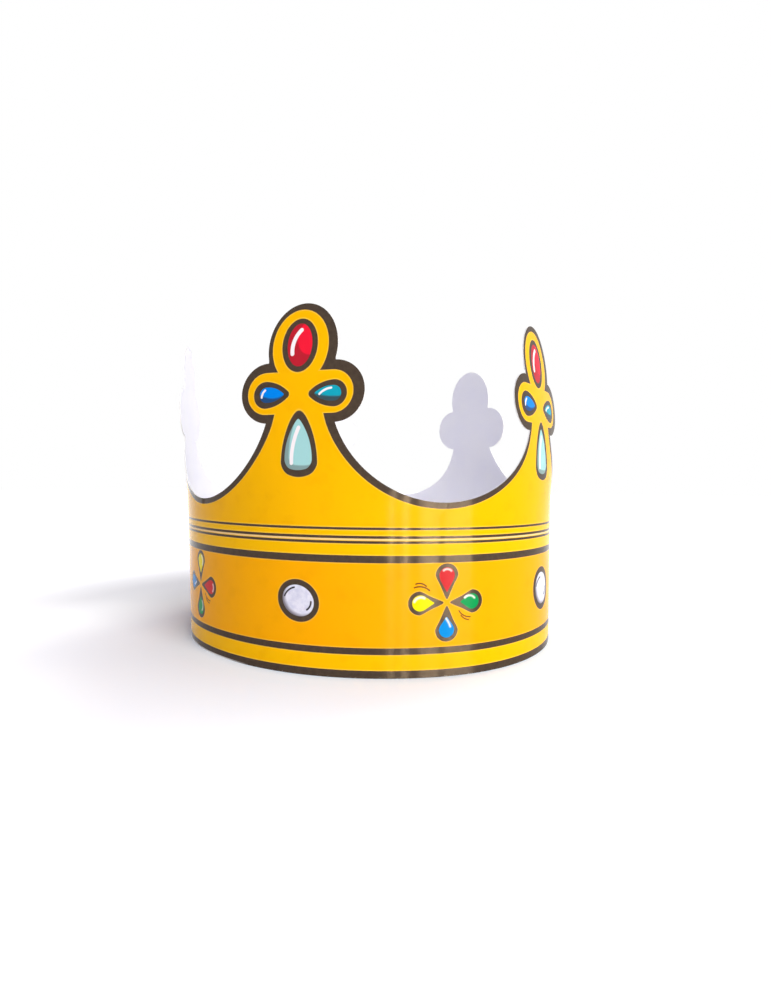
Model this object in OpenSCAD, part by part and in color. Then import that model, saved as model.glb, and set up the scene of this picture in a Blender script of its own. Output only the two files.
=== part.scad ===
// Paper crown: one strip of stiff printed card. Its top edge is cut into trefoil spires with
// round scoops between them, and the strip is rolled to an oval hoop and glued at a lap.
// The front spire faces -Y, the lap is at +Y, and the lower edge stands on z = 0.

/* [Hoop] */
// Length round the outside of the hoop, set by the head that wears it
hoop_round = 578; // [500:2:640]
// How much longer the oval hoop is from front to back than from side to side
hoop_stretch = 29; // [0:1:50]
// Thickness of the card
card_t = 0.5; // [0.3:0.05:1]
// Width of the glued lap inside the back of the hoop
lap_w = 16; // [8:1:30]

/* [Spires] */
// Number of spires round the hoop
spire_count = 5; // [4:1:6]
// Height of the card at the lowest point of a scoop
valley_z = 68; // [55:1:80]
// Width of a spire's foot where it meets the side lobes
foot_w = 29; // [20:1:36]

/* [Trefoil] */
// Radius of a side lobe
lobe_r = 12; // [9:0.5:14]
// Distance of a side lobe's centre from the spire's middle line
lobe_x = 14.5; // [11:0.5:17]
// Height of the side lobes' centres
lobe_z = 110.5; // [106:0.5:114]
// Width of the egg-shaped top lobe, which rises from between the side lobes
top_w = 30; // [24:1:36]
// Height of the spires' tips
tip_z = 146; // [136:1:170]

/* [Hidden] */
$fa = 2;
$fs = 0.5;
deg = 180 / PI;
margin = 1;

// The oval is four quarter arcs: the front and back ones are tighter than those at the sides.
mean_r = hoop_round / (2 * PI);
radius_gap = hoop_stretch / (2 * (sqrt(2) - 1));
end_r = mean_r - radius_gap / 2;
flank_r = mean_r + radius_gap / 2;
arc_shift = radius_gap * sqrt(0.5);
end_half = end_r * PI / 4;
flank_len = flank_r * PI / 2;
inside = end_r / 2;
outside = flank_r + margin;

// Upright strips that make up the hoop: the way each faces, its radius, thickness and sweep.
// The last is the lap. It lies against the inside at the back, sunk half way into that strip.
strips = concat(
    [for (turn = [0, 180]) [turn, end_r, card_t, 90]],
    [for (turn = [-90, 90]) [turn, flank_r, card_t, 90]],
    [[180, end_r - card_t / 2, 1.5 * card_t, lap_w / end_r * deg]]);

// A scoop is an arc through its lowest point and the corners of the two feet beside it.
pitch = hoop_round / spire_count;
scoop_half = mean_r * sin((pitch - foot_w) / 2 / mean_r * deg);
scoop_depth = lobe_z - lobe_r - valley_z;
scoop_r = (scoop_half * scoop_half + scoop_depth * scoop_depth) / (2 * scoop_depth);
foot_top = lobe_z + lobe_r / 2;
top_h = tip_z - lobe_z;

// Direction the card faces at a distance along the hoop from the front, in degrees from -Y.
function facing(along) =
    let (a = abs(along), past_end = a - end_half, past_flank = past_end - flank_len)
    sign(along) * (past_end < 0 ? a / end_r * deg
        : past_flank < 0 ? 45 + past_end / flank_r * deg
        : 135 + past_flank / end_r * deg);

// Centre of the quarter arc that faces a given way.
function arc_centre(turn) =
    abs(turn) <= 45 ? [0, -arc_shift]
    : abs(turn) < 135 ? [-sign(turn) * arc_shift, 0]
    : [0, arc_shift];

// Places a shape drawn across -Y on the card, at a distance along the hoop from the front.
module on_hoop(along) {
    turn = facing(along > hoop_round / 2 ? along - hoop_round : along);
    translate(arc_centre(turn)) rotate([0, 0, turn]) children();
}

// One upright strip of uncut card.
module uncut_strip(turn, radius, thickness, sweep) {
    translate(arc_centre(turn)) rotate([0, 0, turn - 90 - sweep / 2]) rotate_extrude(angle = sweep)
        translate([radius - thickness, 0]) square([thickness, tip_z + margin]);
}

// Turns an outline in x and z to a bar from the hoop's inside out through the card at -Y.
module through_card() {
    translate([0, -inside, 0]) rotate([90, 0, 0]) linear_extrude(outside - inside) children();
}

// Outline of a spire's head: an egg-shaped top lobe over two round side lobes.
module trefoil() {
    translate([0, tip_z - top_h / 2]) scale([top_w / top_h, 1]) circle(d = top_h);
    for (side = [-1, 1]) translate([side * lobe_x, lobe_z]) circle(lobe_r);
}

// The space that the cut card keeps: feet between the scoops, and a trefoil over each foot.
module cut_outline() {
    difference() {
        translate([0, 0, -margin]) cylinder(r = outside, h = foot_top + margin);
        for (i = [0 : spire_count - 1]) on_hoop((i + 0.5) * pitch)
            through_card() translate([0, valley_z + scoop_r]) circle(scoop_r);
    }
    for (i = [0 : spire_count - 1]) on_hoop(i * pitch) through_card() trefoil();
}

module crown_card() {
    color("gold") for (strip = strips) intersection() {
        uncut_strip(strip[0], strip[1], strip[2], strip[3]);
        cut_outline();
    }
}

crown_card();
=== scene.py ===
"""Looks of a paper crown: one printed card strip, cut along its top edge and rolled to an oval hoop.

The card is one mesh with a printed outside, a plain white inside and a pale cut edge. The print is
made of fields of colour and simple shapes in the card's own flat millimetres.
"""

import logging
import math
from dataclasses import astuple, dataclass, field
from enum import Enum, IntEnum
from functools import reduce
from typing import Any, Callable, Iterable, Sequence, Union

import bpy
import numpy as np
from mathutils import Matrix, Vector


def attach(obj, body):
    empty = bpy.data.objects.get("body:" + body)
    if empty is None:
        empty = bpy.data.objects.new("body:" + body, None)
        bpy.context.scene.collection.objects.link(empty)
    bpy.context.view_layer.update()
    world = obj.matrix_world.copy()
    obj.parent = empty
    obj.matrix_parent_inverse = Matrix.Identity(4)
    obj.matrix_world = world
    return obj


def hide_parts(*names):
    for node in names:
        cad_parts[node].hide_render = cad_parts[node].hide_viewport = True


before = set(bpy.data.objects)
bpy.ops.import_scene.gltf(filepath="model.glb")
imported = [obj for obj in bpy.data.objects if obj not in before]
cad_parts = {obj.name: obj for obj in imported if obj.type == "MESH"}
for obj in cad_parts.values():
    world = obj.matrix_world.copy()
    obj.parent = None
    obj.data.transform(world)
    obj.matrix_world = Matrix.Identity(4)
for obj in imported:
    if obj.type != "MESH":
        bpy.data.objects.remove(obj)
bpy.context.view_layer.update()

MM = 0.001
FLAT_MAP = "Flat"
BAKE_MAP = "OFBake"
AIM_Z = 0.07
log = logging.getLogger("paper_crown")

Colour = tuple[float, float, float]
Point = tuple[float, float]
WHITE: Colour = (1.0, 1.0, 1.0)


def tint(code: str) -> Colour:
    """Turn a written colour into the linear numbers that a shader takes.

    Args:
        code: Six hexadecimal digits, two each for red, green and blue.

    Returns:
        The linear red, green and blue.
    """
    parts = [int(code[i:i + 2], 16) / 255 for i in (0, 2, 4)]
    linear = [p / 12.92 if p <= 0.04045 else ((p + 0.055) / 1.055) ** 2.4 for p in parts]
    return (linear[0], linear[1], linear[2])


def ease(share: Any) -> Any:
    """Smooth a share between nought and one, so that it starts and ends level."""
    return share * share * (3 - 2 * share)


class Side(IntEnum):
    """Material slots of the card."""

    PRINT = 0
    INSIDE = 1
    EDGE = 2


class Reach(Enum):
    """What a lamp of the studio shows in."""

    ALL = "shading and gloss"
    SOFT = "shading alone"
    SHEEN = "gloss alone"


def worked_out(operation: str) -> Callable[..., "Field"]:
    """Give the method that works out one operation of a field and, where it takes one, another value."""
    return lambda value, *other: value.sheet.math(operation, value, *other)


class Field:
    """A value that changes over the surface, with arithmetic that adds nodes."""

    __add__ = worked_out("ADD")
    __sub__ = worked_out("SUBTRACT")
    __mul__ = worked_out("MULTIPLY")
    __abs__ = worked_out("ABSOLUTE")
    least = worked_out("MINIMUM")
    most = worked_out("MAXIMUM")

    def __init__(self, sheet: "NodeSheet", socket: bpy.types.NodeSocket) -> None:
        """Keep the node sheet and the socket that gives the value."""
        self.sheet = sheet
        self.socket = socket

    def __rsub__(self, other: float) -> "Field":
        """Take this value away from a number."""
        return self.sheet.math("SUBTRACT", other, self)

    def hypot(self, other: "Number") -> "Field":
        """Give the length of the step made of this value and another at right angles."""
        squared = self.sheet.math("MULTIPLY_ADD", self, self, self.sheet.math("MULTIPLY", other, other))
        return self.sheet.math("SQRT", squared)


Number = Union[Field, float]


class NodeSheet:
    """Adds nodes to one node tree, so that a formula reads on one line."""

    def __init__(self, tree: bpy.types.NodeTree) -> None:
        """Keep the tree that the nodes go into."""
        self.tree = tree
        self.count = 0

    def add(self, kind: str, **settings: Any) -> bpy.types.Node:
        """Add one node.

        Args:
            kind: The node's type name.
            **settings: Attributes of the node.

        Returns:
            The new node.
        """
        node = self.tree.nodes.new(kind)
        for name, value in settings.items():
            setattr(node, name, value)
        node.location = (180 * (self.count % 24), -160 * (self.count // 24))
        self.count += 1
        return node

    def wire(self, value: Any, socket: bpy.types.NodeSocket) -> None:
        """Feed a socket from a field, or set it to a plain value."""
        if isinstance(value, Field):
            self.tree.links.new(value.socket, socket)
        elif socket.type == "RGBA":
            socket.default_value = (*value, 1.0)
        else:
            socket.default_value = value

    def work(self, kind: str, inputs: dict[Any, Any], output: Any = 0, **settings: Any) -> Field:
        """Add one node and feed it.

        Args:
            kind: The node's type name.
            inputs: Fields or plain values for its inputs, by name or number.
            output: Name or number of the output that is wanted.
            **settings: Attributes of the node.

        Returns:
            The output's value.
        """
        node = self.add(kind, **settings)
        for key, value in inputs.items():
            self.wire(value, node.inputs[key])
        return Field(self, node.outputs[output])

    def math(self, operation: str, *values: Number) -> Field:
        """Work out one step of arithmetic."""
        return self.work("ShaderNodeMath", dict(enumerate(values)), operation=operation)

    def ramp(self, value: Number, start: float, end: float, low: float = 0.0, high: float = 1.0) -> Field:
        """Rise from low to high as a value goes from start to end, and stay level outside."""
        inputs = dict(enumerate((value, start, end, low, high)))
        return self.work("ShaderNodeMapRange", inputs, clamp=True)

    def inside(self, distance: Field, grow: float = 0.0, soft: float = 0.16) -> Field:
        """Mask the inside of a shape from its distance.

        Args:
            distance: Distance to the outline, negative inside.
            grow: How far outside the outline the mask reaches.
            soft: Width of the mask's edge.

        Returns:
            One inside the shape and nought outside.
        """
        return self.ramp(distance, grow + soft / 2, grow - soft / 2)

    def pick(self, choice: Number, yes: Number, no: Number) -> Field:
        """Give one of two values by a mask of one or nought."""
        return self.work("ShaderNodeMix", {0: choice, 2: no, 3: yes}, data_type="FLOAT")

    def paint(self, mask: Number, under: Any, over: Any) -> Field:
        """Lay one colour over another where a mask is one."""
        return self.work("ShaderNodeMix", {0: mask, 6: under, 7: over}, 2, data_type="RGBA")

    def noise(self, where: Field, scale: float, detail: float = 2.0, rough: float = 0.5) -> Field:
        """Give smooth random mottling between nought and one."""
        inputs = {"Vector": where, "Scale": scale, "Detail": detail, "Roughness": rough}
        return self.work("ShaderNodeTexNoise", inputs, "Fac")

    def stretch(self, where: Field, scale: tuple[float, float, float]) -> Field:
        """Scale a place along its three ways."""
        return self.work("ShaderNodeMapping", {"Vector": where, "Scale": scale})

    def split(self, where: Field) -> list[Field]:
        """Take a place apart into its three numbers."""
        node = self.add("ShaderNodeSeparateXYZ")
        self.wire(where, node.inputs[0])
        return [Field(self, socket) for socket in node.outputs]


def fibre_group() -> bpy.types.NodeTree:
    """Build the paper fibre effect that the bare card faces and the laminate share.

    Returns:
        A node group with a surface height and a tone, both from nought to one.
    """
    tree = bpy.data.node_groups.new("Card fibre", "ShaderNodeTree")
    face = tree.interface
    for name, kind, start in (("Vector", "NodeSocketVector", None), ("Scale", "NodeSocketFloat", 1.0)):
        socket = face.new_socket(name=name, in_out="INPUT", socket_type=kind)
        if start is not None:
            socket.default_value = start
    for name in ("Height", "Tone"):
        face.new_socket(name=name, in_out="OUTPUT", socket_type="NodeSocketFloat")
    sheet = NodeSheet(tree)
    given = sheet.add("NodeGroupInput")
    result = sheet.add("NodeGroupOutput")
    place, scale = (Field(sheet, given.outputs[name]) for name in ("Vector", "Scale"))
    where = sheet.work("ShaderNodeVectorMath", {0: place, "Scale": scale}, operation="SCALE")
    felt = sheet.noise(where, 1.3, 4.0, 0.62)
    threads = sheet.noise(sheet.stretch(where, (0.35, 2.6, 1.0)), 1.0, 3.0, 0.55)
    cloud = sheet.noise(where, 0.06, 3.0, 0.5)
    sheet.wire(felt * 0.6 + threads * 0.4, result.inputs["Height"])
    sheet.wire(cloud * 0.7 + felt * 0.3, result.inputs["Tone"])
    return tree


class Finish:
    """A material with one Principled shader, and the steps that the finishes share."""

    def __init__(self, name: str) -> None:
        """Start the material with its shader alone."""
        self.made = bpy.data.materials.new(name)
        self.made.use_nodes = True
        self.made.node_tree.nodes.clear()
        self.sheet = NodeSheet(self.made.node_tree)
        out = self.sheet.add("ShaderNodeOutputMaterial")
        self.shader = self.sheet.add("ShaderNodeBsdfPrincipled")
        self.sheet.wire(Field(self.sheet, self.shader.outputs[0]), out.inputs["Surface"])

    def feed(self, **values: Any) -> None:
        """Feed or set sockets of the shader, named in small letters with underscores."""
        sockets = {socket.name.lower().replace(" ", "_"): socket for socket in self.shader.inputs}
        for name, value in values.items():
            self.sheet.wire(value, sockets[name])

    def card(self, fibre: bpy.types.NodeTree, scale: float) -> list[Field]:
        """Read the card's flat map and its fibre.

        Args:
            fibre: The shared paper fibre group.
            scale: Fineness of the fibre.

        Returns:
            The flat place, and the fibre's height and tone.
        """
        flat = self.sheet.work("ShaderNodeUVMap", {}, uv_map=FLAT_MAP)
        grain = self.sheet.add("ShaderNodeGroup", node_tree=fibre)
        self.sheet.wire(flat, grain.inputs["Vector"])
        self.sheet.wire(scale, grain.inputs["Scale"])
        return [flat, *(Field(self.sheet, grain.outputs[name]) for name in ("Height", "Tone"))]

    def relief(self, height: Field, strength: float, distance: float) -> None:
        """Raise the surface by a bump."""
        inputs = {"Strength": strength, "Distance": distance, "Height": height}
        self.feed(normal=self.sheet.work("ShaderNodeBump", inputs))


@dataclass(frozen=True)
class Oval:
    """An upright ellipse, in flat millimetres."""

    centre: Point
    half: Point

    def distance(self, x: Field, z: Field) -> Field:
        """Give the distance from a flat place, negative inside.

        Args:
            x: Position across.
            z: Position up.

        Returns:
            The distance.
        """
        across = (x - self.centre[0]) * (1 / self.half[0])
        up = (z - self.centre[1]) * (1 / self.half[1])
        return (across.hypot(up) - 1.0) * min(self.half)


@dataclass(frozen=True)
class Arc:
    """A brush stroke along part of a circle, in flat millimetres."""

    centre: Point
    radius: float
    aim: float
    spread: float
    half: float

    @classmethod
    def through(cls, first: Point, middle: Point, last: Point, half: float) -> "Arc":
        """Make the stroke that runs through three points.

        Args:
            first: One end.
            middle: A point on the way.
            last: The other end.
            half: Half the stroke's width.

        Returns:
            The stroke.
        """
        (ax, ay), (bx, by), (cx, cy) = first, middle, last
        cross = 2 * (ax * (by - cy) + bx * (cy - ay) + cx * (ay - by))
        sums = [x * x + y * y for x, y in (first, middle, last)]
        x = (sums[0] * (by - cy) + sums[1] * (cy - ay) + sums[2] * (ay - by)) / cross
        y = (sums[0] * (cx - bx) + sums[1] * (ax - cx) + sums[2] * (bx - ax)) / cross
        chord = math.hypot(cx - ax, cy - ay)
        radius = math.hypot(ax - x, ay - y)
        aim = math.atan2((ay + cy) / 2 - y, (ax + cx) / 2 - x)
        return cls((x, y), radius, aim, math.asin(min(1.0, chord / 2 / radius)), half)

    def distance(self, x: Field, z: Field) -> Field:
        """Give the distance from a flat place, negative inside.

        Args:
            x: Position across.
            z: Position up.

        Returns:
            The distance.
        """
        sheet = x.sheet
        sine, cosine = math.sin(self.aim), math.cos(self.aim)
        right, up = x - self.centre[0], z - self.centre[1]
        along = right * cosine + up * sine
        aside = abs(up * cosine - right * sine)
        end_u, end_v = math.cos(self.spread), math.sin(self.spread)
        past = sheet.math("GREATER_THAN", aside * end_u, along * end_v)
        to_end = (along - self.radius * end_u).hypot(aside - self.radius * end_v)
        to_curve = abs(along.hypot(aside) - self.radius)
        return sheet.pick(past, to_end, to_curve) - self.half


@dataclass(frozen=True)
class Drop:
    """A drop with a round end and a narrow end, in flat millimetres."""

    round_r: float
    tip_r: float
    length: float
    waist: float = 0.0

    def ends(self, along: Field, wide: Field) -> tuple[Field, Field]:
        """Give the distances to the round end and to the narrow end."""
        near = along.hypot(wide) - self.round_r
        return near, (along - self.length).hypot(wide) - self.tip_r

    def distance(self, along: Field, aside: Field) -> Field:
        """Give the distance from a flat place, negative inside.

        Args:
            along: Position from the round end's centre towards the tip.
            aside: Position at right angles to that.

        Returns:
            The distance.
        """
        sheet = along.sheet
        slope = (self.round_r - self.tip_r) / self.length
        rise = math.sqrt(1 - slope * slope)
        wide = abs(aside)
        if self.waist:
            share = sheet.ramp(along, 0.0, self.length)
            wide = wide * ((share * (1.0 - share)) * (4 * self.waist) + 1.0)
        place = along * rise - wide * slope
        near, far = self.ends(along, wide)
        flank = wide * rise + along * slope - self.round_r
        body = sheet.pick(sheet.math("LESS_THAN", place, 0.0), near, flank)
        return sheet.pick(sheet.math("GREATER_THAN", place, rise * self.length), far, body)


class Egg(Drop):
    """A drop whose flanks are bowed arcs that meet both ends smoothly."""

    def distance(self, along: Field, aside: Field) -> Field:
        """Give the distance from a flat place, negative inside.

        Args:
            along: Position from the round end's centre towards the tip.
            aside: Position at right angles to that.

        Returns:
            The distance.
        """
        sheet = along.sheet
        reach = self.length + self.round_r + self.tip_r
        near_gap, far_gap = reach - self.round_r, reach - self.tip_r
        back = (far_gap ** 2 - near_gap ** 2 - self.length ** 2) / (2 * self.length)
        side = math.sqrt(near_gap ** 2 - back ** 2)
        wide = abs(aside)
        turn = along * side - wide * back
        after = sheet.math("GREATER_THAN", turn, 0.0)
        before = sheet.math("LESS_THAN", turn, (wide + side) * self.length)
        flank = (wide + side).hypot(along + back) - reach
        near, far = self.ends(along, wide)
        return sheet.pick(after * before, flank, near.least(far))


@dataclass(frozen=True)
class Arch:
    """A pointed arch on a bowed sill, in flat millimetres; blunt rounds the tip off."""

    half: float
    sill: float
    tip: float
    corner: float
    blunt: float
    bow: float

    def distance(self, x: Field, z: Field) -> Field:
        """Give the distance from a flat place, negative inside.

        Args:
            x: Position across.
            z: Position up.

        Returns:
            The distance.
        """
        spring = self.sill + self.corner + 1.5
        rise = self.tip - spring
        offset = (rise * rise - self.half * self.half) / (2 * self.half)
        bulge = (x.hypot(self.blunt) + offset).hypot((z - spring).most(0.0))
        flank = bulge - (offset + self.half - self.corner)
        foot = x * x * self.bow + (self.sill + self.corner) - z
        outer = flank.most(0.0).hypot(foot.most(0.0))
        return outer + flank.most(foot).least(0.0) - self.corner


@dataclass(frozen=True)
class Spot:
    """A place on the print: fields in flat millimetres, and the numbers of its spire and its scoop."""

    sheet: NodeSheet
    where: Field
    along: Field
    up: Field
    spire: Field
    x: Field
    cell: Field
    valley: Field


@dataclass(frozen=True)
class GoldPrint:
    """The printed and film-laminated outside of the card, with every size in flat millimetres."""

    pitch: float = 115.6
    mean_r: float = 92.0
    scoop_r: float = 43.6
    valley_z: float = 68.0
    ink: Colour = tint("483C32")
    halo: Colour = tint("FFD36E")
    gold: Colour = tint("FFBC00")
    band: Colour = tint("FFB000")
    strip: Colour = tint("FFC200")
    peach: Colour = tint("F5D09A")
    scratch: Colour = tint("6E3C12")
    shine: Colour = tint("FBF4F2")
    bronze: float = 0.15
    strips: tuple[Point, ...] = ((53.0, 5.6), (6.0, 4.6))
    broad: Point = (28.3, 17.5)
    thread: Point = (53.72, 0.3)
    lines: tuple[Point, ...] = (
        (-1.0, 3.03), (9.2, 11.82), (44.68, 47.55), (52.12, 53.15), (54.06, 55.1), (57.4, 58.35))

    def material(self, fibre: bpy.types.NodeTree) -> bpy.types.Material:
        """Build the printed finish.

        Args:
            fibre: The shared paper fibre group.

        Returns:
            The material.
        """
        finish = Finish("printed_card")
        sheet = finish.sheet
        where, height, _ = finish.card(fibre, 0.9)
        colour, inked = self.ornament(sheet, where)
        handling = sheet.noise(where, 0.045, 3.0, 0.6)
        finish.feed(
            base_color=colour, metallic=inked * self.bronze,
            roughness=sheet.ramp(handling, 0.3, 0.7, 0.2, 0.24),
            specular_ior_level=0.04, anisotropic=1.0, anisotropic_rotation=0.25)
        ripple = sheet.noise(sheet.stretch(where, (0.22, 0.012, 1.0)), 1.0, 3.0, 0.5)
        finish.relief(height * 0.06 + ripple * 0.94, 0.2, 0.0001)
        return finish.made

    def ornament(self, sheet: NodeSheet, where: Field) -> tuple[Field, Field]:
        """Lay out the whole print.

        Args:
            sheet: The material's node sheet.
            where: The flat position, along the strip from the front's middle and above the lower edge.

        Returns:
            The print's colour, and the mask of its bronze ink.
        """
        along, up, _ = sheet.split(where)
        turns = along * (1 / self.pitch)
        spire, cell = sheet.math("ROUND", turns), sheet.math("FLOOR", turns)
        x, valley = along - spire * self.pitch, along - (cell + 0.5) * self.pitch
        spot = Spot(sheet, where, along, up, spire, x, cell, valley)
        gems = [*self.spire_gems(spot), *self.rosette_gems(spot)]
        dark = self.line_distance(up).least(self.border_distance(spot))
        dark = reduce(Field.least, [ring for ring, _ in gems], dark)
        halo = sheet.inside(dark, 0.34, 0.3) * 0.3
        colour = sheet.paint(halo, self.ground(spot), self.halo)
        toner = sheet.noise(where, 0.5, 3.0, 0.6)
        ink = sheet.paint(sheet.ramp(toner, 0.35, 0.7), self.ink, tint("524538"))
        inked = sheet.inside(dark)
        colour = sheet.paint(inked, colour, ink)
        for _, layers in gems:
            inked = inked * (1.0 - layers[0][0])
            for mask, paint in layers:
                colour = sheet.paint(mask, colour, paint)
        worn = sheet.noise(where, 1.6, 3.0, 0.6)
        nick = sheet.inside(up, 0.35, 0.5) * sheet.ramp(worn, 0.6, 0.7)
        # Paints a thin pale line along the lower edge at the strip's left end, next to the random nicks.
        bare = sheet.inside(up, 0.5, 0.3) * sheet.ramp(along, -140.0, -156.0)
        return sheet.paint(nick.most(bare), colour, tint("E8E4DC")), inked

    def ground(self, spot: Spot) -> Field:
        """Lay the gold fields under the ornament.

        Args:
            spot: The place on the print.

        Returns:
            The ground colour.
        """
        sheet = spot.sheet
        colour: Any = self.gold
        strips = [(self.strip, strip) for strip in self.strips]
        for paint, (middle, half) in [(self.band, self.broad), *strips, (self.peach, self.thread)]:
            colour = sheet.paint(sheet.inside(abs(spot.up - middle), half), colour, paint)
        mottle = sheet.noise(spot.where, 0.11, 3.0, 0.55)
        return sheet.paint(sheet.ramp(mottle, 0.52, 0.8, 0.0, 0.28), colour, tint("E89A00"))

    def line_distance(self, up: Field) -> Field:
        """Give the distance to the level lines round the band."""
        lines = [abs(up - (low + high) / 2) - (high - low) / 2 for low, high in self.lines]
        return reduce(Field.least, lines)

    def border_distance(self, spot: Spot) -> Field:
        """Give the distance to the dark border along the cut edge.

        Args:
            spot: The place on the print.

        Returns:
            The distance, negative in the border.
        """
        sheet, x, up = spot.sheet, spot.x, spot.up
        wide = abs(x + 0.7)
        top = Oval((-0.95, 128.6), (12.15, 14.85)).distance(x, up)
        lobe = (wide - wide.most(4.0).least(14.4)).hypot(up - 110.3) - 8.35
        chord = sheet.math("SINE", (spot.valley + 0.4) * (1 / self.mean_r)) * self.mean_r
        scoop = chord.hypot(up - (self.valley_z + self.scoop_r)) - self.scoop_r
        thick = sheet.ramp(up, 78.0, 102.0, 2.45, 2.5)
        foot = (thick - scoop).most(up - 112.0)
        return 0.0 - top.least(lobe).least(foot)

    def spire_gems(self, spot: Spot) -> list[tuple]:
        """Lay out the stones of a spire and the pearl under it.

        Args:
            spot: The place on the print.

        Returns:
            For each stone its ring's distance and its layers of mask and colour.
        """
        sheet, x, up = spot.sheet, spot.x, spot.up
        gems: list[tuple] = []

        def stone(ring: Field, body: Field, lit: Field, tones: tuple[str, str], shine: Arc) -> None:
            """Add a cut stone of a dark and a light tone, with one painted shine."""
            tone = sheet.paint(lit, tint(tones[0]), tint(tones[1]))
            gems.append((ring, [
                (sheet.inside(body), tone), (sheet.inside(shine.distance(x, up)), self.shine)]))

        stone(Oval((-1.1, 129.05), (7.7, 10.75)).distance(x, up),
              Oval((-1.1, 129.15), (5.35, 8.6)).distance(x, up),
              sheet.inside(Oval((3.2, 131.9), (5.3, 6.9)).distance(x, up), 0.0, 0.5),
              ("BE2231", "F51E38"), Arc.through((-4.1, 125.7), (-3.55, 131.0), (-0.8, 135.1), 0.85))
        stone(Egg(5.35, 1.6, 9.05).distance(x + 15.2, up - 109.75),
              Egg(3.05, 0.6, 7.2).distance(x + 14.75, up - 109.75),
              sheet.inside(Oval((-11.7, 120.0), (11.6, 11.6)).distance(x, up), 0.0, 0.8),
              ("244E80", "0088EC"), Arc.through((-16.9, 108.9), (-16.4, 110.6), (-15.4, 111.7), 0.42))
        stone(Egg(5.2, 1.7, 8.8).distance(14.3 - x, up - 109.6),
              Egg(3.0, 0.6, 7.3).distance(14.2 - x, up - 109.55),
              sheet.inside(Oval((14.8, 135.2), (26.8, 26.8)).distance(x, up), 0.0, 0.8),
              ("39535A", "16A6BA"), Arc.through((8.3, 109.3), (10.5, 110.9), (13.1, 111.6), 0.42))
        centred = x + 0.35
        lit = Arch(5.7, 81.9, 105.0, 2.6, 0.4, 0.02).distance(centred - 1.7, up)
        stone(Arch(8.45, 77.4, 108.2, 3.0, 3.1, 0.045).distance(x + 0.05, up),
              Arch(5.9, 80.1, 100.6, 2.6, 0.5, 0.045).distance(centred, up),
              sheet.inside(lit, 0.0, 0.6),
              ("86A29E", "A6D8D5"), Arc.through((-3.2, 82.9), (-2.4, 90.5), (-0.2, 96.6), 0.8))

        lean = math.radians(25)
        pearl_x = x + 0.2
        taller = sheet.math("COMPARE", spot.spire, 0.0, 0.5)
        rise = (up - 29.1) * (1.0 - taller * 0.14)
        across = pearl_x * math.cos(lean) - rise * math.sin(lean)
        upright = pearl_x * math.sin(lean) + rise * math.cos(lean)
        ring = Oval((0, 0), (9.2, 8.2)).distance(across, upright)
        fill = sheet.inside(Oval((0, 0), (7.0, 6.0)).distance(across, upright))
        glow = Oval((0.8, 1.5), (6.9, 6.1)).distance(across, upright)
        mist = sheet.ramp(sheet.noise(spot.where, 0.35, 3.0, 0.6), 0.4, 0.65)
        cloud = sheet.paint(mist, tint("E9EAF6"), tint("D6D8EA"))
        layers = [(fill, sheet.paint(sheet.inside(glow, 0.4, 1.4), tint("85808A"), cloud))]
        for tick in (
                Arc.through((-5.9, 30.6), (-4.2, 32.9), (-1.6, 34.2), 0.34),
                Arc.through((3.9, 25.7), (5.3, 27.4), (5.6, 28.9), 0.36)):
            layers.append((sheet.inside(tick.distance(pearl_x, up)), tint("3B3740")))
        gems.append((ring, layers))
        return gems

    def rosette_gems(self, spot: Spot) -> list[tuple]:
        """Lay out the rosette of four drops under a scoop, a quarter turn on from the last one.

        Args:
            spot: The place on the print.

        Returns:
            The drops' shared ring distance and their layers of mask and colour.
        """
        sheet, cell = spot.sheet, spot.cell
        left_one = sheet.math("COMPARE", cell, -2.0, 0.5)
        right, rise = spot.valley - 1.1 + left_one * 5.1, spot.up - 29.1
        past_seam = sheet.math("LESS_THAN", cell, -2.5)
        angle = (cell + 1.0 + past_seam * 5.0) * (math.pi / 2)
        cosine, sine = sheet.math("COSINE", angle), sheet.math("SINE", angle)
        x = right * cosine + rise * sine
        z = rise * cosine - right * sine
        wide, tall = abs(x), abs(z)
        out, aside = wide.most(tall), wide.least(tall)
        ring = Drop(4.65, 0.45, 8.9, 0.16).distance(10.7 - out, aside)
        upright = sheet.math("GREATER_THAN", tall, wide)
        above, beyond = sheet.math("GREATER_THAN", z, 0.0), sheet.math("GREATER_THAN", x, 0.0)
        shrink = 1.0 - upright * above * 0.23 - (1.0 - upright) * (1.0 - beyond) * 0.1
        inward = 10.65 - out
        fill = sheet.inside(Drop(3.1, 0.25, 4.7, 0.04).distance(inward.least(inward * shrink), aside))
        ends = sheet.paint(above, tint("0090DC"), tint("D23034"))
        sides = sheet.paint(beyond, tint("FAE600"), tint("089A50"))
        tone = sheet.paint(upright, sides, ends)
        shines = [
            Arc.through((-1.4, 12.6), (0.1, 13.1), (1.7, 12.4), 0.22),
            Arc.through((7.6, 1.5), (9.6, 2.3), (11.8, 1.2), 0.24),
            Arc.through((-12.9, 0.7), (-11.2, 2.2), (-9.0, 2.0), 0.32),
            Arc.through((-0.2, -6.3), (0.8, -7.9), (1.5, -9.5), 0.24)]
        lines = [
            Arc.through((-12.4, 7.5), (-10.3, 7.7), (-8.3, 6.6), 0.27),
            Arc.through((-13.0, 6.1), (-10.0, 6.4), (-7.0, 4.9), 0.27),
            Arc.through((5.1, -3.5), (6.9, -5.3), (10.0, -6.2), 0.24),
            Arc.through((6.0, -5.4), (7.5, -6.7), (9.3, -7.3), 0.24)]
        layers = [(fill, tone)]
        for shine in shines:
            layers.append((sheet.inside(shine.distance(x, z), 0.05, 0.7) * 0.92, tint("FFFDF4")))
        for number, line in enumerate(lines):
            mark = sheet.inside(line.distance(right, rise))
            layers.append((mark * (1.0 - left_one) if number < 2 else mark, self.scratch))
        return [(ring, layers)]


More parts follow.
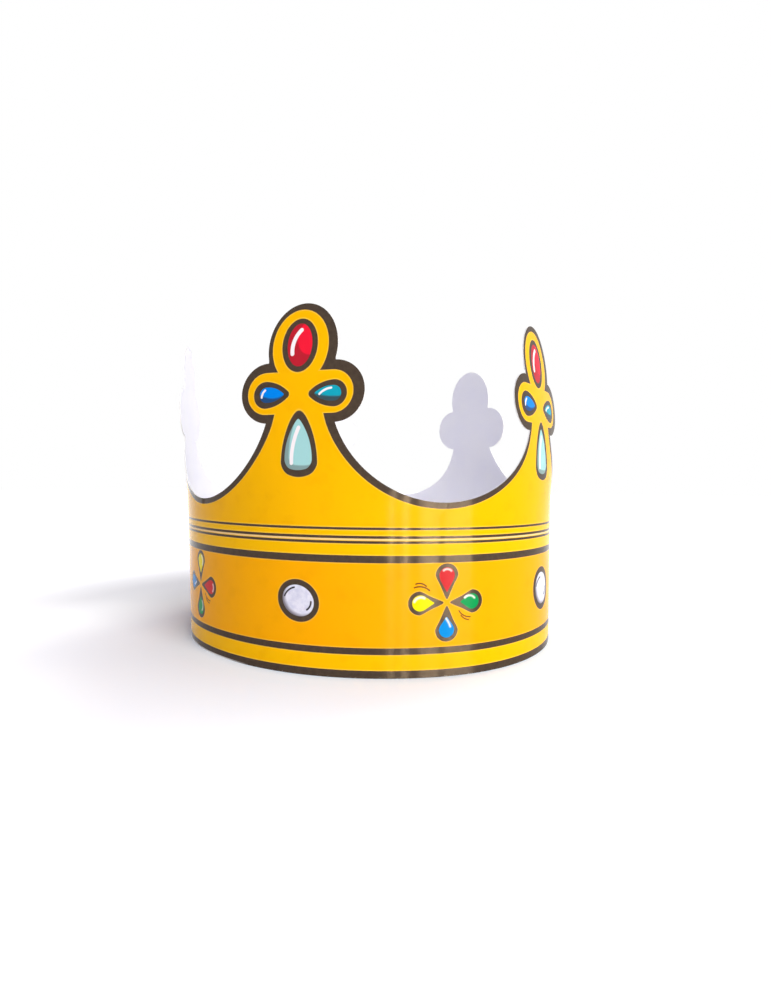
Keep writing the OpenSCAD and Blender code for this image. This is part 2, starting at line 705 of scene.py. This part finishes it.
@dataclass(frozen=True)
class BareCard:
    """Unprinted white card: the inside face, or the pale core at a cut edge."""

    name: str
    light: Colour
    shade: Colour
    roughness: float
    fibre_scale: float
    relief: float

    def material(self, fibre: bpy.types.NodeTree) -> bpy.types.Material:
        """Build the bare card finish.

        Args:
            fibre: The shared paper fibre group.

        Returns:
            The material.
        """
        finish = Finish(self.name)
        sheet = finish.sheet
        _, height, tone = finish.card(fibre, self.fibre_scale)
        finish.feed(
            base_color=sheet.paint(sheet.ramp(tone, 0.35, 0.65), self.shade, self.light),
            roughness=sheet.ramp(height, 0.3, 0.7, self.roughness - 0.06, self.roughness + 0.06),
            specular_ior_level=0.08)
        finish.relief(height, self.relief, 0.0002)
        return finish.made


@dataclass(frozen=True)
class HoopPlan:
    """The oval that the card is rolled to, as four quarter arcs, in millimetres."""

    round_mm: float = 578.0
    stretch: float = 29.0

    @property
    def mean_r(self) -> float:
        """Radius of a circle as long as the hoop."""
        return self.round_mm / (2 * math.pi)

    @property
    def gap(self) -> float:
        """Difference between the flank radius and the end radius."""
        return self.stretch / (2 * (math.sqrt(2) - 1))

    def at(self, along: np.ndarray) -> tuple[np.ndarray, np.ndarray]:
        """Give points of the outer face and the way they face.

        Args:
            along: Distances along the hoop from the front, positive to the right.

        Returns:
            The points in plan, and the outward directions.
        """
        end_r, flank_r = self.mean_r - self.gap / 2, self.mean_r + self.gap / 2
        shift = self.gap * math.sqrt(0.5)
        end_half, flank_len = end_r * math.pi / 4, flank_r * math.pi / 2
        far = np.abs(along)
        sign = np.where(along < 0, -1.0, 1.0)
        on_flank = (far > end_half) & (far <= end_half + flank_len)
        at_back = far > end_half + flank_len
        facing = far / end_r
        facing = np.where(on_flank, math.pi / 4 + (far - end_half) / flank_r, facing)
        facing = np.where(at_back, 3 * math.pi / 4 + (far - end_half - flank_len) / end_r, facing)
        radius = np.where(on_flank, flank_r, end_r)
        centre_x = np.where(on_flank, -shift, 0.0)
        centre_y = np.where(on_flank, 0.0, np.where(at_back, shift, -shift))
        out = np.stack([sign * np.sin(facing), -np.cos(facing)], axis=-1)
        centre = np.stack([sign * centre_x, centre_y], axis=-1)
        return centre + radius[..., None] * out, out

    def reach(self, start: float, chord: np.ndarray) -> np.ndarray:
        """Turn straight offsets from the tangent plane at one place into places along the hoop.

        Args:
            start: Where on the hoop the tangent plane touches.
            chord: Offsets in that plane, positive to the right.

        Returns:
            The places along the hoop.
        """
        span, samples = 64, 2049
        near = np.linspace(start - span, start + span, samples)
        points, _ = self.at(near)
        origin, out = self.at(np.array([start]))
        tangent = np.array([-out[0, 1], out[0, 0]])
        return np.interp(chord, (points - origin[0]) @ tangent, near)


@dataclass(frozen=True)
class Row:
    """One level of the card between its cut edges, in millimetres."""

    z: float
    chord: float
    from_valley: bool


@dataclass(frozen=True)
class Bend:
    """How one spire has sprung off the hoop: flat is a share, the rest is in millimetres."""

    flat: float
    tip_in: float
    lean_in: float
    aside: float = 0.0
    foot_in: float = 0.0
    set_in: float = 0.0


@dataclass
class CrownCard:
    """The one card strip of the crown, with its cut top edge and its glued lap."""

    plan: HoopPlan = field(default_factory=HoopPlan)
    thickness: float = 0.5
    lap: float = 16.0
    spires: int = 5
    valley_z: float = 68.0
    foot_w: float = 29.0
    lobe_r: float = 12.0
    lobe_x: float = 14.5
    lobe_z: float = 110.5
    top_w: float = 30.0
    tip_z: float = 146.0
    bends: tuple[Bend, ...] = (
        Bend(0.91, 0.9, -1.0, aside=4.0, foot_in=2.2),
        Bend(0.64, 4.3, 1.5),
        Bend(0.66, 1.75, 4.3),
        Bend(0.75, -1.5, 4.5, aside=0.6, set_in=3.8),
        Bend(0.6, 1.5, 1.0, aside=4.0))
    spring_drop: float = 2.0
    flat_rise: float = 39.0
    lean_rise: float = 80.0
    tip_from: float = 105.0
    tip_rise: float = 41.0
    hold_z: float = 78.0
    tuck_run: float = 9.0
    tuck_depth: float = 1.06
    columns: int = 44
    band_rows: int = 14
    scoop_rows: int = 26
    lobe_rows: int = 34
    top_rows: int = 30

    @property
    def pitch(self) -> float:
        """Flat distance from spire to spire."""
        return self.plan.round_mm / self.spires

    @property
    def scoop_r(self) -> float:
        """Radius of the round scoops."""
        half = self.plan.mean_r * math.sin((self.pitch - self.foot_w) / 2 / self.plan.mean_r)
        depth = self.lobe_z - self.lobe_r - self.valley_z
        return (half * half + depth * depth) / (2 * depth)

    def rows(self) -> list[Row]:
        """List the levels from the lower edge to the tip, with the half width of the card at each."""
        found = [Row(float(z), 0.0, True) for z in np.linspace(0, self.valley_z, self.band_rows + 1)]
        centre = self.valley_z + self.scoop_r
        last = math.acos((centre - self.lobe_z + self.lobe_r) / self.scoop_r)
        for turn in np.linspace(0, last, self.scoop_rows + 1)[1:]:
            z = centre - self.scoop_r * math.cos(turn)
            found.append(Row(z, self.scoop_r * math.sin(turn), True))
        for turn in np.linspace(-math.pi / 2, math.pi / 2, self.lobe_rows + 1)[1:]:
            z = self.lobe_z + self.lobe_r * math.sin(turn)
            found.append(Row(z, self.lobe_x + self.lobe_r * math.cos(turn), False))
        half_h = (self.tip_z - self.lobe_z) / 2
        middle = self.tip_z - half_h
        start, last = math.asin((self.lobe_z + self.lobe_r - middle) / half_h), math.radians(88)
        for turn in np.linspace(start, last, self.top_rows + 1)[1:]:
            found.append(Row(middle + half_h * math.sin(turn), self.top_w / 2 * math.cos(turn), False))
        return found

    def tuck(self, along: np.ndarray) -> np.ndarray:
        """Give how far the card lies inside the hoop's face, for the end under the lap.

        Args:
            along: Places along the hoop.

        Returns:
            Depths in millimetres.
        """
        edge = -self.plan.round_mm / 2 + self.lap / 2
        share = np.clip((edge + self.tuck_run - along) / self.tuck_run, 0, 1)
        return self.tuck_depth * self.thickness * ease(share)

    def lay_out(self) -> tuple[np.ndarray, np.ndarray, np.ndarray, list[tuple[int, ...]]]:
        """Lay the card out as a grid of four-sided cells.

        Returns:
            Places along the hoop, flat print places, heights, and the cells' corners.
        """
        rows = self.rows()
        share = np.linspace(0, 1, self.columns + 1)
        corners: list[tuple[float, float, float]] = []
        cells: list[tuple[int, ...]] = []
        joined: dict[int, int] = {}

        def point(along: float, printed: float, z: float) -> int:
            """Add one corner and give its number."""
            corners.append((along, printed, z))
            return len(corners) - 1

        half_count = self.spires // 2
        first_column: list[int] = []
        for number in range(-half_count, half_count + 1):
            middle = number * self.pitch
            grid: list[list[int]] = []
            for level, row in enumerate(rows):
                if row.from_valley:
                    left = self.plan.reach(middle - self.pitch / 2, np.array([row.chord]))[0]
                    right = self.plan.reach(middle + self.pitch / 2, np.array([-row.chord]))[0]
                    half = self.pitch / 2 - self.plan.mean_r * math.asin(row.chord / self.plan.mean_r)
                else:
                    left, right = self.plan.reach(middle, np.array([-row.chord, row.chord]))
                    half = row.chord
                line = []
                for column, part in enumerate(share):
                    if column == 0 and level in joined and level <= self.band_rows:
                        line.append(joined[level])
                        continue
                    along = left + (right - left) * part
                    printed = middle + half * (2 * part - 1)
                    if row.from_valley:
                        edge = left + half - middle if part < 0.5 else right - half - middle
                        printed = along - edge * self.edge_hold(2 * part - 1, row.z)
                    line.append(point(along, printed, row.z))
                grid.append(line)
            if number == -half_count:
                first_column = [line[0] for line in grid[:self.band_rows + 1]]
            joined = {level: grid[level][-1] for level in range(self.band_rows + 1)}
            for low, high in zip(grid, grid[1:]):
                for column in range(self.columns):
                    cells.append((low[column], low[column + 1], high[column + 1], high[column]))
        self.add_tab(point, cells, first_column, -1.0)
        self.add_tab(point, cells, [joined[level] for level in range(self.band_rows + 1)], 1.0)
        return (*np.array(corners).T, cells)

    def edge_hold(self, across: float, z: float) -> float:
        """Give how closely the print follows the cut edge of a scoop rather than the hoop.

        Args:
            across: Position across the spire, from minus one to one.
            z: Height above the lower edge.

        Returns:
            One where the print follows the edge, nought where it lies true on the hoop.
        """
        fade = (z - self.hold_z) / (self.lobe_z - self.lobe_r - self.hold_z)
        return ease(abs(across)) * (1 - ease(min(1.0, max(0.0, fade))))

    def add_tab(self, point: Any, cells: list, column: list[int], way: float) -> None:
        """Add the half of the lap beyond one end of the strip.

        Args:
            point: Adds a corner and gives its number.
            cells: The cells so far; the tab's cells are added.
            column: The corners at the strip's end, from the lower edge up.
            way: Minus one at the left end and one at the right end.
        """
        steps = 4
        end = way * self.plan.round_mm / 2
        before = column
        for step in range(1, steps + 1):
            reach = self.lap / 2 * step / steps
            top = self.valley_z + self.scoop_r - math.sqrt(self.scoop_r ** 2 - reach * reach)
            after = [
                point(end + way * reach, end + way * reach, top * level / self.band_rows)
                for level in range(self.band_rows + 1)]
            for level in range(self.band_rows):
                cell = (before[level], after[level], after[level + 1], before[level + 1])
                cells.append(cell if way > 0 else cell[::-1])
            before = after

    def build(self) -> bpy.types.Object:
        """Make the card's mesh.

        Returns:
            The card, in metres in the shared frame.
        """
        along, flat, height, cells = self.lay_out()
        points, facing = self.place(along, height), self.facing(along, height)
        inward = -facing[:, :2] / np.linalg.norm(facing[:, :2], axis=1)[:, None]
        depth = self.tuck(along)
        outer = points + inward * depth[:, None]
        inner = points + inward * (depth + self.thickness)[:, None]
        count = len(along)
        verts = np.concatenate([
            np.column_stack([outer, height]), np.column_stack([inner, height])]) * MM
        edges: dict[tuple[int, int], int] = {}
        for number, cell in enumerate(cells):
            for start, end in zip(cell, cell[1:] + cell[:1]):
                edges[(start, end)] = number
        rim = [
            (end, start, start + count, end + count)
            for start, end in edges if (end, start) not in edges]
        backs = [tuple(corner + count for corner in reversed(cell)) for cell in cells]
        faces = [*cells, *backs, *rim]
        mesh = bpy.data.meshes.new("crown_card_sheet")
        mesh.from_pydata(verts.tolist(), [], faces)
        sides = [Side.PRINT] * len(cells) + [Side.INSIDE] * len(backs) + [Side.EDGE] * len(rim)
        mesh.polygons.foreach_set("material_index", [int(side) for side in sides])
        self.add_maps(mesh, np.tile(flat, 2), np.tile(height, 2), len(cells), len(rim))
        self.shade(mesh, np.concatenate([facing, -facing]), len(rim))
        card = bpy.data.objects.new("crown_card_sheet", mesh)
        bpy.context.scene.collection.objects.link(card)
        return card

    def place(self, along: np.ndarray, height: np.ndarray) -> np.ndarray:
        """Give where the card's outer face lies in plan, once the spires have sprung off the hoop.

        Args:
            along: Places along the hoop.
            height: Heights above the lower edge.

        Returns:
            Points in plan, in millimetres.
        """
        points, _ = self.plan.at(self.wrapped(along))
        half_count = self.spires // 2
        number = np.clip(np.round(along / self.pitch), -half_count, half_count).astype(int)
        root, out = self.plan.at(number * self.pitch)
        tangent = np.column_stack([-out[:, 1], out[:, 0]])
        aside = along - number * self.pitch
        bends = np.array([astuple(bend) for bend in self.bends])[number + half_count]
        flat, tip_in, lean_in, sideways, foot_in, set_in = bends.T
        above = height - self.valley_z + self.spring_drop
        rise = ease(np.clip(above / self.flat_rise, 0, 1))
        lean = np.clip(above / self.lean_rise, 0, None) ** 1.5
        tip = np.clip((height - self.tip_from) / self.tip_rise, 0, None) ** 1.5
        near = np.cos(np.clip(2 * aside / self.pitch, -1, 1) * math.pi / 2) ** 2
        inward = tip_in * tip + lean_in * lean + set_in * rise
        inward += foot_in * near * np.clip(1 - height / self.valley_z, 0, 1)
        level = root + tangent * aside[:, None]
        moved = points + (level - points) * (flat * rise)[:, None]
        return moved - out * inward[:, None] + tangent * (sideways * lean)[:, None]

    def facing(self, along: np.ndarray, height: np.ndarray) -> np.ndarray:
        """Give the way each place of the sprung card faces.

        Args:
            along: Places along the hoop.
            height: Heights above the lower edge.

        Returns:
            Unit directions.
        """
        step = 0.05
        across = self.place(along + step, height) - self.place(along - step, height)
        upward = (self.place(along, height + step) - self.place(along, height - step)) / (2 * step)
        turn = across[:, 0] * upward[:, 1] - across[:, 1] * upward[:, 0]
        found = np.column_stack([across[:, 1], -across[:, 0], turn])
        return found / np.linalg.norm(found, axis=1)[:, None]

    def wrapped(self, along: np.ndarray) -> np.ndarray:
        """Carry places beyond the back round to the other side."""
        whole = self.plan.round_mm
        return (along + whole / 2) % whole - whole / 2

    def shade(self, mesh: bpy.types.Mesh, facing: np.ndarray, rim_count: int) -> None:
        """Give the faces the hoop's own smooth normals, and keep the cut edge crisp.

        Args:
            mesh: The card's mesh.
            facing: Outward direction of each corner.
            rim_count: How many of the last faces are the cut edge.
        """
        mesh.shade_smooth()
        corners = np.zeros(len(mesh.loops), dtype=np.int32)
        mesh.loops.foreach_get("vertex_index", corners)
        normals = facing[corners]
        first_rim = mesh.polygons[len(mesh.polygons) - rim_count].loop_start
        face_normals = np.zeros(3 * len(mesh.polygons))
        mesh.polygons.foreach_get("normal", face_normals)
        normals[first_rim:] = np.repeat(face_normals.reshape(-1, 3)[-rim_count:], 4, axis=0)
        mesh.normals_split_custom_set(normals.tolist())

    def add_maps(
        self, mesh: bpy.types.Mesh, flat: np.ndarray, height: np.ndarray, cell_count: int, rim_count: int
    ) -> None:
        """Add the flat print map in millimetres and the map that a baked texture is laid out on.

        Args:
            mesh: The card's mesh.
            flat: Flat place along the strip of each corner.
            height: Height of each corner.
            cell_count: How many faces each side of the card has.
            rim_count: How many faces the cut edge has.
        """
        corners = np.zeros(len(mesh.loops), dtype=np.int32)
        mesh.loops.foreach_get("vertex_index", corners)
        across, up = flat[corners], height[corners]
        mesh.uv_layers.new(name=FLAT_MAP)
        mesh.uv_layers.new(name=BAKE_MAP)
        mesh.uv_layers[FLAT_MAP].data.foreach_set("uv", np.column_stack([across, up]).ravel())

        side, split, margin = 332.0, 28.0, 2.0
        start = -self.plan.round_mm / 2 - self.lap / 2
        turned_at, turned_top, small, small_z = 356.8, 220.0, 0.55, 224.0
        quad = across.reshape(-1, 4).mean(axis=1).repeat(4)
        first = np.column_stack([across - start + margin, up + margin])
        second = np.column_stack([turned_at - across, turned_top - up])
        layout = np.where((quad < split)[:, None], first, second)
        reduced = np.column_stack([(across - start) * small + margin, up * small + small_z])
        layout[4 * cell_count:8 * cell_count] = reduced[4 * cell_count:8 * cell_count]
        number = np.arange(rim_count)
        in_line, pace, line_gap, rim_z, wide, tall = 150, 2.1, 1.8, 308.0, 1.4, 1.1
        column, line = number % in_line, number // in_line
        corner = np.stack([pace * column + margin, line_gap * line + rim_z], axis=-1)
        step = np.array([[0, 0], [wide, 0], [wide, tall], [0, tall]])
        layout[8 * cell_count:] = (corner[:, None, :] + step[None]).reshape(-1, 2)
        mesh.uv_layers[BAKE_MAP].data.foreach_set("uv", (layout / side).ravel())

    def dress(self, card: bpy.types.Object) -> None:
        """Give the card its printed, inside and cut edge finishes."""
        fibre = fibre_group()
        print_finish = GoldPrint(self.pitch, self.plan.mean_r, self.scoop_r, self.valley_z)
        inside = BareCard("white_inside", tint("FDFCFF"), tint("F9F8FF"), 0.62, 1.1, 0.16)
        edge = BareCard("pale_cut_edge", tint("FBFAF6"), tint("F1EFEA"), 0.8, 2.4, 0.3)
        for finish in (print_finish, inside, edge):
            card.data.materials.append(finish.material(fibre))


@dataclass(frozen=True)
class View:
    """The photograph's camera, in millimetres and degrees in the shared frame."""

    place: tuple[float, float, float] = (-234.7, -176.4, 74.69)
    heading: float = 58.11
    dip: float = 1.959
    roll: float = -0.518
    lens: float = 19.30
    shift: Point = (-0.0268, 0.0034)

    def build(self) -> None:
        """Make the camera and look through it."""
        data = bpy.data.cameras.new("camera")
        data.sensor_fit = "AUTO"
        data.sensor_width = 36.0
        data.lens = self.lens
        data.shift_x, data.shift_y = self.shift
        data.clip_start = 0.01
        data.clip_end = 50.0
        camera = bpy.data.objects.new("camera", data)
        camera.location = Vector(self.place) * MM
        turns = (90 - self.dip, self.roll, -self.heading)
        camera.rotation_euler = [math.radians(turn) for turn in turns]
        bpy.context.scene.collection.objects.link(camera)
        bpy.context.scene.camera = camera

    def toward(self, right: float, rise: float, distance: float) -> Vector:
        """Give a place by its angles as seen from the crown.

        Args:
            right: Degrees to the right of the camera.
            rise: Degrees above the floor.
            distance: Metres from the crown's middle.

        Returns:
            The place in metres.
        """
        turn = math.radians(self.heading + 180 - right)
        level, high = distance * math.cos(math.radians(rise)), distance * math.sin(math.radians(rise))
        return Vector((level * math.sin(turn), level * math.cos(turn), AIM_Z + high))


@dataclass(frozen=True)
class Pane:
    """One tall soft light, placed by its angles from the crown."""

    name: str
    right: float
    rise: float
    distance: float
    width: float
    height: float
    power: float
    colour: Colour = (1.0, 0.98, 0.95)
    reach: Reach = Reach.ALL

    def build(self, view: View) -> None:
        """Make the light, turned to the crown.

        Args:
            view: The camera that the angles are counted from.
        """
        data = bpy.data.lights.new(self.name, "AREA")
        data.shape = "RECTANGLE"
        data.size = self.width
        data.size_y = self.height
        data.energy = self.power
        data.color = self.colour
        lamp = bpy.data.objects.new(self.name, data)
        lamp.location = view.toward(self.right, self.rise, self.distance)
        aim = Vector((0, 0, AIM_Z)) - lamp.location
        lamp.rotation_euler = aim.to_track_quat("-Z", "Y").to_euler()
        lamp.visible_diffuse = self.reach is not Reach.SHEEN
        lamp.visible_glossy = self.reach is not Reach.SOFT
        bpy.context.scene.collection.objects.link(lamp)


def sheen(name: str, right: float, width: float, power: float) -> Pane:
    """Make one upright strip of the pale streak in the gloss."""
    return Pane(f"sheen_{name}", right, 12.0, 1.5, width, 0.95, power, (1.0, 0.97, 0.82), Reach.SHEEN)


@dataclass
class Studio:
    """A pale floor with painted shade near the crown, soft window light from the right and a white
    surround.
    """

    view: View
    ambient: Colour = (0.346, 0.344, 0.438)
    panes: tuple[Pane, ...] = (
        Pane("window_main", 37.0, 26.0, 1.5, 0.85, 0.9, 19.5),
        Pane("window_behind", 140.0, 45.0, 1.6, 0.9, 0.9, 8.3, (1.0, 1.0, 0.8), Reach.SOFT),
        sheen("sliver", 3.6, 0.07, 8.4),
        sheen("strip", 10.5, 0.09, 12.0),
        sheen("narrow", 22.5, 0.25, 25.0),
        sheen("wide", 40.3, 0.52, 40.0))

    def build(self) -> None:
        """Make the floor, the surround and the lights."""
        for pane in self.panes:
            pane.build(self.view)
        self.surround()
        self.floor()
        bpy.context.scene.view_settings.view_transform = "Standard"

    def surround(self) -> None:
        """Make the world: white where it is seen or mirrored, softer where it lights."""
        world = bpy.data.worlds.new("surround")
        bpy.context.scene.world = world
        world.use_nodes = True
        tree = world.node_tree
        tree.nodes.clear()
        sheet = NodeSheet(tree)
        out = sheet.add("ShaderNodeOutputWorld")
        colour = sheet.paint(reduce(Field.most, self.rays(sheet)), self.ambient, WHITE)
        sheet.wire(sheet.work("ShaderNodeBackground", {"Color": colour}), out.inputs["Surface"])

    def rays(self, sheet: NodeSheet) -> list[Field]:
        """Give the masks of the rays that see the background: from the camera, mirrored and let through."""
        path = sheet.add("ShaderNodeLightPath")
        kinds = ("Camera", "Glossy", "Transmission")
        return [Field(sheet, path.outputs[f"Is {kind} Ray"]) for kind in kinds]

    def floor(self) -> None:
        """Make the pale floor, which keeps the crown's real soft shadow, deepened by painted shade, and has
        a painted bluish glow near the crown.
        """
        half, sunk = 5.0, -0.0001
        corners = [(x * half, y * half, sunk) for x, y in ((-1, -1), (1, -1), (1, 1), (-1, 1))]
        mesh = bpy.data.meshes.new("floor")
        mesh.from_pydata(corners, [], [(0, 1, 2, 3)])
        floor = bpy.data.objects.new("floor", mesh)
        bpy.context.scene.collection.objects.link(floor)
        finish = Finish("pale_floor")
        sheet = finish.sheet
        east, north, _ = sheet.split(sheet.work("ShaderNodeNewGeometry", {}, "Position"))
        reach = east.hypot(north)
        heading = math.radians(self.view.heading)
        sine, cosine = math.sin(heading), math.cos(heading)
        right, behind = east * cosine - north * sine, east * sine + north * cosine
        camera, mirrored, through = self.rays(sheet)
        seen = camera.most(mirrored).most(through)
        # Painted shade: the floor's white glow is faint at the crown's foot and grows with distance, so the
        # floor round the crown is painted darker on top of its real shadow.
        near_white = sheet.ramp(reach, 0.095, 0.165, 0.05, 0.38)
        far_white = sheet.ramp(reach, 0.22, 0.45, 0.0, 0.62)
        # Painted shadow: the white glow is cut back behind and to the left of the crown, deepening its real
        # shadow there.
        shade = sheet.ramp(behind, -0.01, 0.05) * sheet.ramp(right, -0.07, -0.13)
        shade = shade * sheet.ramp(reach, 0.25, 0.19)
        white = seen * (near_white + far_white) * (1.0 - shade * 0.6)
        # Painted bluish glow on the floor just outside the crown's foot, mostly at its front and right,
        # cancelling the warm tint of light bounced off the gold.
        half_x, half_y = 0.0847, 0.0992
        outside = sheet.ramp((east * (1 / half_x)).hypot(north * (1 / half_y)), 0.98, 1.02)
        painted_glow_mask = outside * sheet.ramp(reach, 0.20, 0.09) * sheet.ramp(right, -0.1, -0.02, 0.3, 1.0) * seen
        glow = sheet.paint(painted_glow_mask, (0.0, 0.0, 0.0), (0.0, 0.105, 0.18))
        finish.feed(
            base_color=(0.93, 0.93, 0.93), roughness=0.12, specular_ior_level=mirrored * 1.7,
            emission_strength=1.0, emission_color=sheet.paint(white, glow, WHITE))
        mesh.materials.append(finish.made)


def main() -> None:
    """Build the crown and its studio."""
    logging.basicConfig(level=logging.INFO, format="%(name)s: %(message)s")
    view = View()
    view.build()
    crown = CrownCard()
    card = crown.build()
    crown.dress(card)
    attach(card, "root")
    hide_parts("crown_card")
    log.info("crown_card_sheet: %d faces, flat strip %.0f x %.0f mm", len(card.data.polygons),
             crown.plan.round_mm + crown.lap, crown.tip_z)
    Studio(view).build()
    log.info("studio: floor, surround and lights")


if __name__ == "__main__":
    main()
